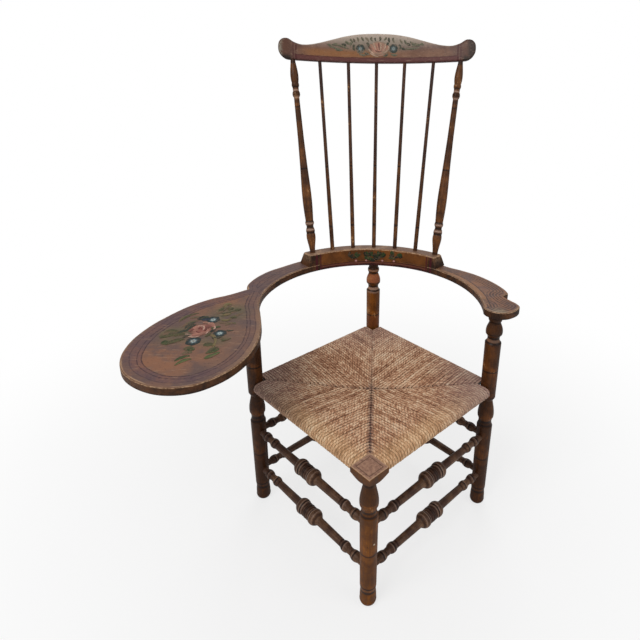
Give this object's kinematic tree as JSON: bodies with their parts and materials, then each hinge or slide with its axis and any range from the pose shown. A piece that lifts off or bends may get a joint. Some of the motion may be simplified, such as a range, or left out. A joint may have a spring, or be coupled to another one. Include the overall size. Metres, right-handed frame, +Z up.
{
  "type": "corner writing chair",
  "caption": "Rustic corner chair with turned legs, woven rush seat, flat bow arms that widen into a writing tablet, and a spindle comb with a humped crest.",
  "frame": {"origin": "on the floor, under the middle of the whole chair's bounding box", "axes": "+Z up, the sitter faces -Y, +X to the sitter's left, with the tablet on -X"},
  "size_m": [0.8748, 0.8196, 1.2662],
  "materials": {
    "turned_wood": "worn dark stain with painted rings",
    "painted_wood": "worn red-brown paint with pinstripes and flowers",
    "rail_wood": "bare wood",
    "rush": "twisted rush, dull"
  },
  "bodies": {
    "root": {"front_leg": "turned_wood", "tablet_post": "turned_wood", "hand_post": "turned_wood", "back_post": "turned_wood", "front_tablet_seat_rail": "rail_wood", "front_tablet_lower_stretcher": "turned_wood", "front_tablet_upper_stretcher": "turned_wood", "front_hand_seat_rail": "rail_wood", "front_hand_lower_stretcher": "turned_wood", "front_hand_upper_stretcher": "turned_wood", "back_tablet_seat_rail": "rail_wood", "back_tablet_lower_stretcher": "turned_wood", "back_tablet_upper_stretcher": "turned_wood", "back_hand_seat_rail": "rail_wood", "back_hand_lower_stretcher": "turned_wood", "back_hand_upper_stretcher": "turned_wood", "rush_seat": "rush", "writing_arm": "painted_wood", "hand_arm": "painted_wood", "arm_riser": "painted_wood", "tablet_stile": "turned_wood", "spindle_1": "turned_wood", "spindle_2": "turned_wood", "spindle_3": "turned_wood", "spindle_4": "turned_wood", "spindle_5": "turned_wood", "hand_stile": "turned_wood", "crest_rail": "painted_wood"}
  },
  "joints": []
}
